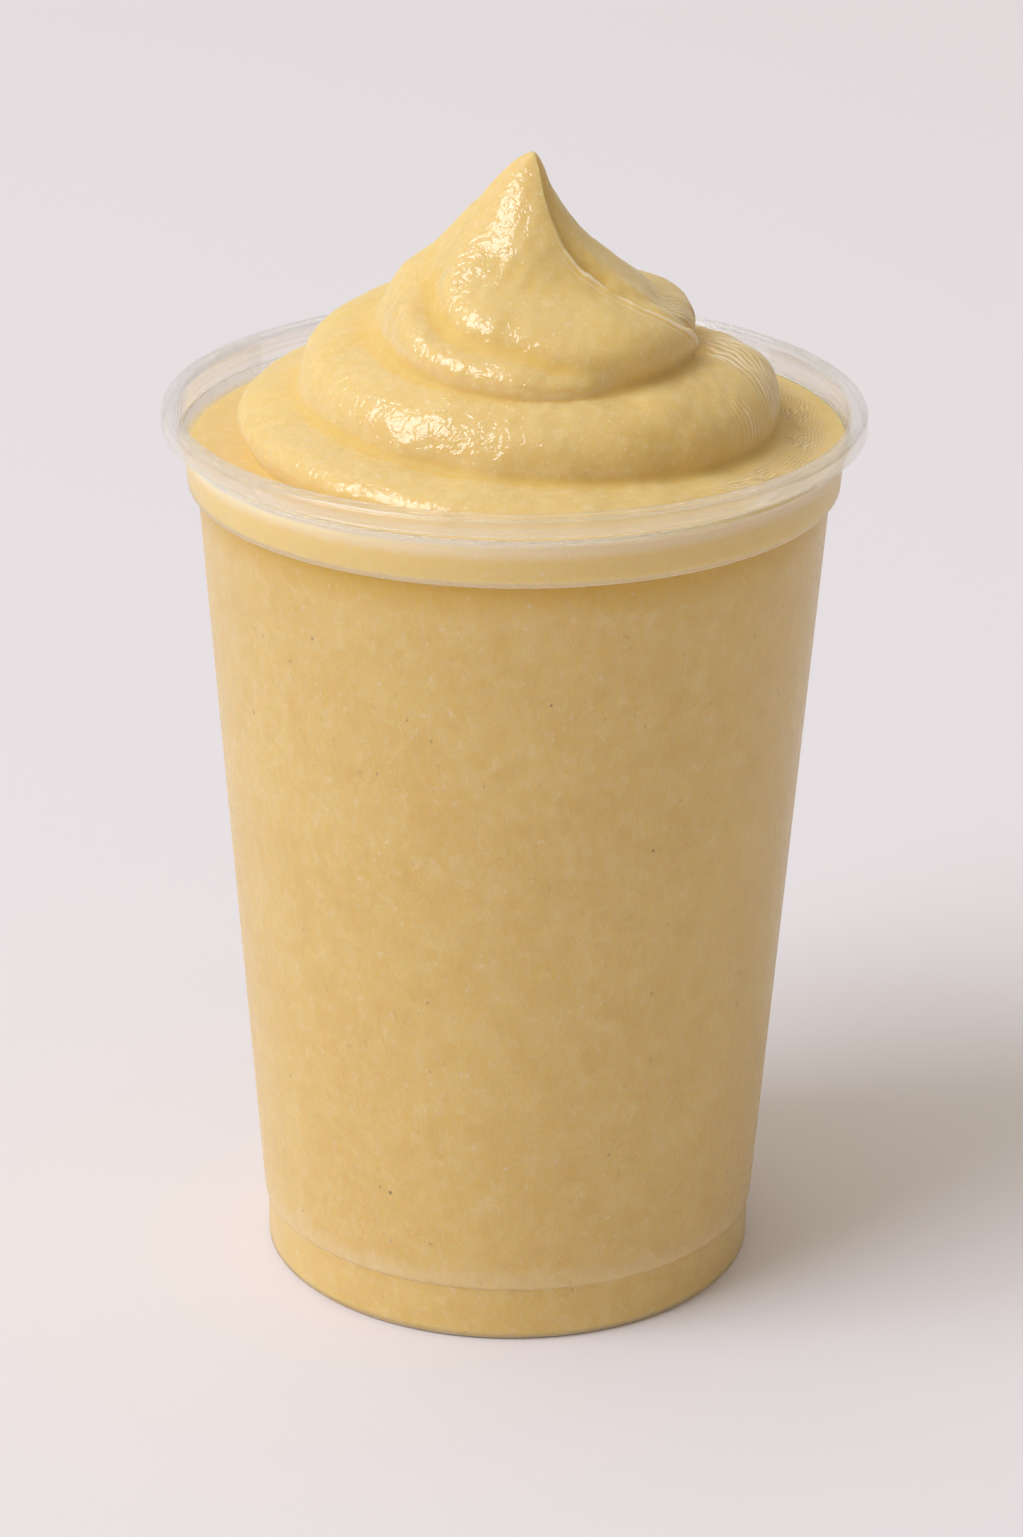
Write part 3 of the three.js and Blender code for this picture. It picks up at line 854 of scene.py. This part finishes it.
def drinkOnTop(looks):
    material, nodes = newMaterial("smoothieSwirl")
    calc = nodes.calc
    place = nodes.place()
    carried = {}
    for name in ("streakPhase", "streakStrength", "ridge", "ridgeStrength", "wet", "creaseShade"):
        node = nodes.add("ShaderNodeAttribute")
        node.attribute_name = name
        carried[name] = node.outputs["Fac"]
    tone, grain = drinkTone(nodes, place, looks)
    # Painted shade in the creases
    creaseShade = calc("MULTIPLY", carried["creaseShade"], looks["creaseShadeShare"])
    tone = nodes.mix(creaseShade, tone, looks["creaseShadeColour"])
    # Streaks: rounded ribs, waved and broken up by noise, painted pale as light on their crests, with
    # painted shade in the gaps between them
    bend = calc("MULTIPLY", nodes.noise(place, *looks["bend"]), looks["bendShare"])
    phase = calc("ADD", carried["streakPhase"], bend)
    wave = calc("SINE", calc("MULTIPLY", phase, 2 * math.pi))
    gaps = calc("MULTIPLY", nodes.remap(wave, *looks["gap"]), carried["streakStrength"])
    whole = nodes.remap(nodes.noise(place, *looks["ribBreaks"]), *looks["ribWhole"])
    ribs = calc("MULTIPLY", nodes.remap(wave, *looks["rib"]), whole)
    ribs = calc("MULTIPLY", ribs, carried["streakStrength"])
    # The fold's edge: one thin pale thread, and a fainter one in front of it
    sway = calc("MULTIPLY", nodes.noise(place, *looks["threadWave"]), looks["threadWaveShare"])
    offEdge = calc("ADD", carried["ridge"], sway)
    threads = [nodes.remap(calc("ABSOLUTE", calc("SUBTRACT", offEdge, middle)), *fade)
               for middle, fade in looks["threads"]]
    threads = calc("MULTIPLY", calc("MAXIMUM", *threads), carried["ridgeStrength"])
    lines = calc("MAXIMUM", ribs, calc("MULTIPLY", threads, looks["threadShare"]))
    # Painted shade in the streaks' gaps, then painted light on their ribs and the fold's pale threads
    tone = nodes.mix(calc("MULTIPLY", gaps, looks["gapShadeShare"]), tone, looks["gapShadeColour"])
    tone = nodes.mix(calc("MULTIPLY", lines, looks["streakPale"]), tone, looks["streakColour"])
    roughness = nodes.remap(grain, *looks["roughness"])
    shader = drinkShader(nodes, tone, roughness, looks["specular"], looks)
    # The wet film, which is crinkled more than the drink under it
    crinkle = nodes.noise(place, *looks["crinkle"])
    normal = nodes.bump(lines, looks["streakHeight"])
    nodes.feed(shader, {"Normal": nodes.bump(crinkle, looks["crinkleUnder"], normal),
                        "Coat Normal": nodes.bump(crinkle, looks["crinkleHeight"], normal),
                        "Coat Weight": carried["wet"], "Coat Roughness": looks["filmRoughness"],
                        "Coat IOR": looks["filmIor"]})
    return material


# The cup: clear thin plastic, with a curled lip, a stacking band and a set-back foot
cupSizes = {
    "wallThickness": 0.6,
    "lipRadius": 49.0,
    "lipTop": 128.8,
    "lipSkirtBottom": 126.0,
    "lipWidth": 2.7,
    "bandTopRadius": 45.9,
    "bandBottomRadius": 45.45,
    "bandTop": 123.4,
    "bandBottom": 117.4,
    "wallTopRadius": 44.14,
    "ringRadius": 35.75,
    "ringHeight": 8.65,
    "footRadius": 35.25,
    "baseContactRadius": 34.5,
    "baseRecessRadius": 31.5,
    "baseRecessHeight": 1.5,
    "baseThickness": 0.8,
    "neckStart": 0.25,           # above the band's top, on the inside
    "neckEnd": 1.5,
    "lipFrom": 1.1,              # the clearer plastic starts this far above the band's top
    "columns": 490,
}


def makeCup(s, materials):
    thick, lip = s["wallThickness"], s["lipRadius"]
    mouth, skirt = lip - s["lipWidth"], lip - thick
    neck = mouth + thick
    # From under the base up the outside, over the lip and down the inside: radius, height and roundness of
    # each corner. The small offsets, in mm, shape the bends.
    line = roundCorners([
        (0.0, s["baseRecessHeight"], 0),
        (s["baseRecessRadius"] - 1.2, s["baseRecessHeight"], 0.6),
        (s["baseRecessRadius"], 0, 0.4),
        (s["baseContactRadius"] - 0.3, 0, 0.8),
        (s["footRadius"], 1.0, 0.7),
        (s["footRadius"], s["ringHeight"] - 0.25, 0.25),
        (s["ringRadius"], s["ringHeight"] + 0.1, 0.35),
        (s["wallTopRadius"], s["bandBottom"], 0.25),
        (s["bandBottomRadius"], s["bandBottom"] + 0.35, 0.5),
        (s["bandTopRadius"], s["bandTop"], 0.5),
        (neck - 0.1, s["bandTop"] + 0.9, 0.5),
        (neck, s["lipTop"] - 0.8, 0.45),
        (skirt, s["lipTop"] - 0.8, 0.5),
        (skirt, s["lipSkirtBottom"], 0.15),
        (lip, s["lipSkirtBottom"], 0.25),
        (lip, s["lipTop"] - 0.35, 0.9),
        (lip - 1.2, s["lipTop"], 0.9),
        (mouth + 0.35, s["lipTop"] - 0.1, 0.7),
        (mouth, s["lipTop"] - 0.9, 0.6),
        (mouth, s["bandTop"] + s["neckEnd"], 0.5),
        (s["bandTopRadius"] - thick, s["bandTop"] + s["neckStart"], 0.4),
        (s["bandBottomRadius"] - thick, s["bandBottom"] + 0.9, 0.3),
        (s["wallTopRadius"] - thick, s["bandBottom"] + 0.5, 0.2),
        (s["ringRadius"] - thick, s["ringHeight"] + 0.25, 0.2),
        (s["footRadius"] - thick, s["ringHeight"] - 0.15, 0.2),
        (s["footRadius"] - thick, s["baseThickness"] + 0.7, 0.5),
        (s["baseContactRadius"] - 0.4, s["baseThickness"], 0.4),
        (s["baseRecessRadius"] - 0.5, s["baseThickness"], 0.4),
        (s["baseRecessRadius"] - 1.6, s["baseRecessHeight"] + s["baseThickness"], 0.4),
        (0.0, s["baseRecessHeight"] + s["baseThickness"], 0),
    ])
    columns, rings = s["columns"], len(line) - 2
    points = turned(line[1:-1], columns)
    faces = ringFaces(rings, columns)
    height = (line[1:-2, 1] + line[2:-1, 1]) / 2
    slots = np.repeat(height > s["bandTop"] + s["lipFrom"], columns).tolist()
    points = np.concatenate([points, [[0, 0, line[0, 1]]], [[0, 0, line[-1, 1]]]])
    closeEnds(faces, slots, rings, columns, 0)
    return addPiece("cup_clear", points * mm, faces, materials, slots)


# Clearness is what isn't milky haze, and some pale lines below are painted highlights. Heights are in
# metres, and noises as in the drink's looks.
cupLooks = {
    "tint": (0.96, 0.95, 0.94),
    "straightThrough": (0.99, 0.99, 0.99),
    "wallIor": 1.42,
    "wallGrain": (1300, 2.0, 0.6),
    "wallGrainStretch": (1, 1, 0.6),
    "wallGrainHeight": 0.00012,
    "wallRoughness": (0.3, 0.75, 0.29, 0.42),
    "wallClearness": (0.3, 0.75, 1.005, 0.96),
    "fibres": (800, 2.0, 0.5),
    "fibreStretch": (1, 1, 0.12),
    "fibreHeight": 0.00004,
    "fleck": (1700, 1.0, 0.5, 0.6),
    "fleckHaze": (0.66, 0.74, 0, 0.20),
    "bandHaze": (0.1174, 0.1178, 0, 0.05),       # milkier plastic in the band
    "bandEdgeHighlight": ((0.1172, 0.11745, 0.1176, 0.1188), 0.26),     # painted highlight, a pale line at the band's lower edge
    # painted highlight, a pale band above the foot's ring
    "footHighlight": ((0.0083, 0.0090, 0.0098, 0.0125), 0.09),
    "neck": ((0.1214, 0.1227, 0.1240, 0.1249), 0.25),          # in the neck above it
    # painted highlight, a pale line at the lip skirt's lower edge
    "skirtEdgeHighlight": ((0.1257, 0.1259, 0.1262, 0.1264), 0.28),
    "rimHaze": (0.1279, 0.1284, 0, 0.10),
    "lipIor": 1.3,               # the lip is a thin fold, which bends light less than solid plastic
    "lipShare": 0.44,            # the rest of the view passes straight through the thin fold
    "lipRipple": (90, 2.0, 0.5),
    "lipRippleHeight": 0.0001,
    "lipRippleStrength": 0.2,
    "lipRoughness": (0.3, 0.75, 0.10, 0.18),
    "lipClearness": (0.3, 0.75, 0.985, 0.915),
    "lipGloss": 1.0,
    "lipGlossRoughness": 0.07,
    "lipGlossIor": 1.65,
}


# A pale band between heights, used for real milky haze and for painted highlights
def hazeAndHighlightAt(nodes, height, zone):
    heights, hazeAndHighlight = zone
    return nodes.calc("MULTIPLY", nodes.inRange(height, *heights), hazeAndHighlight)


def plastic(nodes, looks, ior, roughness, clearness, hazesAndHighlights, normal):
    for hazeAndHighlight in hazesAndHighlights:
        clearness = nodes.calc("SUBTRACT", clearness, hazeAndHighlight)
    shader = nodes.add("ShaderNodeBsdfPrincipled")
    nodes.feed(shader, {"Base Color": looks["tint"], "IOR": ior, "Roughness": roughness,
                        "Transmission Weight": clearness, "Normal": normal})
    # Lamps and soft light go straight through the plastic, so that what is behind it is lit
    clear = nodes.feed(nodes.add("ShaderNodeBsdfTransparent"), {"Color": looks["straightThrough"]})
    path = nodes.add("ShaderNodeLightPath").outputs
    lit = nodes.calc("MAXIMUM", path["Is Shadow Ray"], path["Is Diffuse Ray"])
    mix = nodes.add("ShaderNodeMixShader")
    nodes.feed(mix, {"Fac": lit, 1: shader.outputs["BSDF"], 2: clear.outputs["BSDF"]})
    nodes.toSurface(mix.outputs["Shader"])
    return shader


def wallMaterial(looks):
    material, nodes = newMaterial("satinClearWall")
    place = nodes.place()
    grain = nodes.noise(nodes.stretched(place, looks["wallGrainStretch"]), *looks["wallGrain"])
    fibres = nodes.noise(nodes.stretched(place, looks["fibreStretch"]), *looks["fibres"])
    fleck = nodes.noise(place, *looks["fleck"])
    height = nodes.height(place)
    roughness = nodes.remap(grain, *looks["wallRoughness"])
    clearness = nodes.remap(grain, *looks["wallClearness"])
    # Pale bands: painted highlights at the band's lower edge and above the foot, and the milky neck
    hazesAndHighlights = [hazeAndHighlightAt(nodes, height, looks[name]) for name in ("bandEdgeHighlight", "footHighlight", "neck")]
    hazesAndHighlights.append(nodes.remap(height, *looks["bandHaze"]))
    hazesAndHighlights.append(nodes.remap(fleck, *looks["fleckHaze"]))
    normal = nodes.bump(fibres, looks["fibreHeight"])
    normal = nodes.bump(grain, looks["wallGrainHeight"], normal)
    plastic(nodes, looks, looks["wallIor"], roughness, clearness, hazesAndHighlights, normal)
    return material


def lipMaterial(looks):
    material, nodes = newMaterial("clearLip")
    place = nodes.place()
    ripple = nodes.noise(place, *looks["lipRipple"])
    height = nodes.height(place)
    roughness = nodes.remap(ripple, *looks["lipRoughness"])
    clearness = nodes.remap(ripple, *looks["lipClearness"])
    # Pale bands: the milky neck and a painted highlight at the skirt's lower edge
    hazesAndHighlights = [hazeAndHighlightAt(nodes, height, looks[name]) for name in ("neck", "skirtEdgeHighlight")]
    hazesAndHighlights.append(nodes.remap(height, *looks["rimHaze"]))
    normal = nodes.bump(ripple, looks["lipRippleHeight"], None, looks["lipRippleStrength"])
    shader = plastic(nodes, looks, looks["lipIor"], roughness, clearness, hazesAndHighlights, normal)
    nodes.feed(shader, {"Alpha": looks["lipShare"], "Coat Weight": looks["lipGloss"],
                        "Coat Roughness": looks["lipGlossRoughness"], "Coat IOR": looks["lipGlossIor"]})
    return material


drinkMaterials = [drinkAtWall(drinkLooks), drinkOnTop(drinkLooks)]
smoothie = makeDrink(drinkSizes, drinkDetails, tracing, cupSizes, drinkMaterials)
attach(smoothie, "root")
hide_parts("smoothie")
print("smoothie made,", len(smoothie.data.polygons), "faces")

cup = makeCup(cupSizes, [wallMaterial(cupLooks), lipMaterial(cupLooks)])
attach(cup, "root")
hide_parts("cup")
print("cup made,", len(cup.data.polygons), "faces")

# The setting: a plain pale floor and soft studio light
studio = {
    "floorSize": 12.0,
    "floorLines": 9,
    "floorColour": (0.80, 0.757, 0.788),
    "floorPaler": 1.015,
    "floorNoise": (3.0, 2.0, 0.5),
    "floorRoughness": (0.3, 0.7, 0.75, 0.85),
    "floorSpecular": 0.15,
    "worldColour": (1.0, 0.945, 0.835),
    "worldBright": (-0.45, 0.15, 0.88),          # the soft light comes mostly from here
    "worldStrength": (0.24, 0.90),               # straight across from there, and from there
    "worldLeast": 0.11,
    "keyColour": (0.915, 0.975, 1.11),
    "keyPower": 165.0,
    "keySize": (3.0, 3.5),
    "keyDistance": 5.0,
    "keyAzimuth": -62.5,         # degrees round from the viewer, to the left
    "keyHeight": 46.0,           # degrees up
    "aimHeight": 0.10,
}


def addFloor(values):
    half = values["floorSize"] / 2
    count = values["floorLines"]
    line = np.linspace(-half, half, count)
    x, y = np.meshgrid(line, line, indexing="xy")
    points = np.stack([x, y, np.zeros_like(x)], -1).reshape(-1, 3)
    row, column = np.meshgrid(np.arange(count - 1), np.arange(count - 1), indexing="ij")
    first = row * count + column
    faces = np.stack([first, first + 1, first + count + 1, first + count], -1).reshape(-1, 4).tolist()
    material, nodes = newMaterial("paleFloor")
    shader = nodes.add("ShaderNodeBsdfPrincipled")
    soft = nodes.noise(nodes.place(), *values["floorNoise"])
    paler = tuple(min(c * values["floorPaler"], 1) for c in values["floorColour"])
    nodes.feed(shader, {"Base Color": nodes.mix(soft, values["floorColour"], paler),
                        "Roughness": nodes.remap(soft, *values["floorRoughness"]),
                        "Specular IOR Level": values["floorSpecular"]})
    nodes.toSurface(shader.outputs["BSDF"])
    floor = addPiece("floor", points, faces, [material])


def addLight(values):
    world = bpy.data.worlds.new("studio")
    bpy.context.scene.world = world
    world.use_nodes = True
    background = world.node_tree.nodes["Background"]
    background.inputs["Color"].default_value = (*values["worldColour"], 1)
    nodes = Nodes(world.node_tree)
    toBright = nodes.add("ShaderNodeVectorMath")
    toBright.operation = "DOT_PRODUCT"
    nodes.link(nodes.add("ShaderNodeTexCoord").outputs["Generated"], toBright.inputs[0])
    toBright.inputs[1].default_value = Vector(values["worldBright"]).normalized()
    strength = nodes.remap(toBright.outputs["Value"], 0, 1, *values["worldStrength"])
    strength.node.clamp = False
    strength = nodes.calc("MAXIMUM", strength, values["worldLeast"])
    nodes.link(strength, background.inputs["Strength"])
    data = bpy.data.lights.new("softbox", "AREA")
    data.shape = "RECTANGLE"
    data.size, data.size_y = values["keySize"]
    data.energy = values["keyPower"]
    data.color = values["keyColour"]
    lamp = bpy.data.objects.new("softbox", data)
    bpy.context.scene.collection.objects.link(lamp)
    azimuth, up = math.radians(values["keyAzimuth"]), math.radians(values["keyHeight"])
    away = Vector((math.sin(azimuth) * math.cos(up), -math.cos(azimuth) * math.cos(up), math.sin(up)))
    lamp.location = Vector((0, 0, values["aimHeight"])) + away * values["keyDistance"]
    lamp.rotation_euler = away.to_track_quat("Z", "Y").to_euler()


addFloor(studio)
addLight(studio)
bpy.context.scene.view_settings.view_transform = "Standard"
print("floor and light placed")
